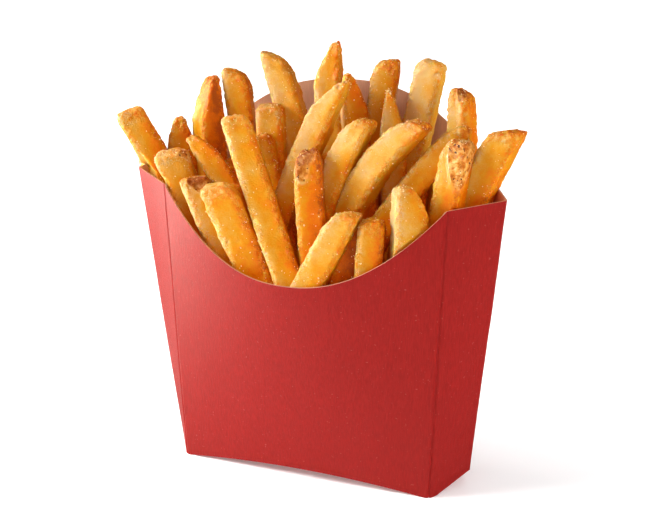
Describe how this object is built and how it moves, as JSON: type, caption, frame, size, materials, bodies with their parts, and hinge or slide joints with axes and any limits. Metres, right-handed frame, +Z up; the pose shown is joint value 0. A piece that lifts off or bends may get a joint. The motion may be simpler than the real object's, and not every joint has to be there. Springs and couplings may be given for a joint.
{
  "type": "carton of french fries",
  "caption": "Takeaway portion of french fries: a folded card carton with a low scooped front and a tall arched back, filled with a standing bundle of potato sticks.",
  "frame": {"origin": "on the table, under the middle of the part's box", "axes": "+Z up, -Y out of the scooped front, +X to the right seen from the front"},
  "size_m": [0.1426, 0.0546, 0.1443],
  "materials": {
    "red_card": "matte printed red outside, pale uncoated board inside",
    "fried_potato": "golden fried crust with a light sheen of oil and grains of salt"
  },
  "bodies": {
    "root": {"carton": "red_card", "fries": "fried_potato"}
  },
  "joints": []
}
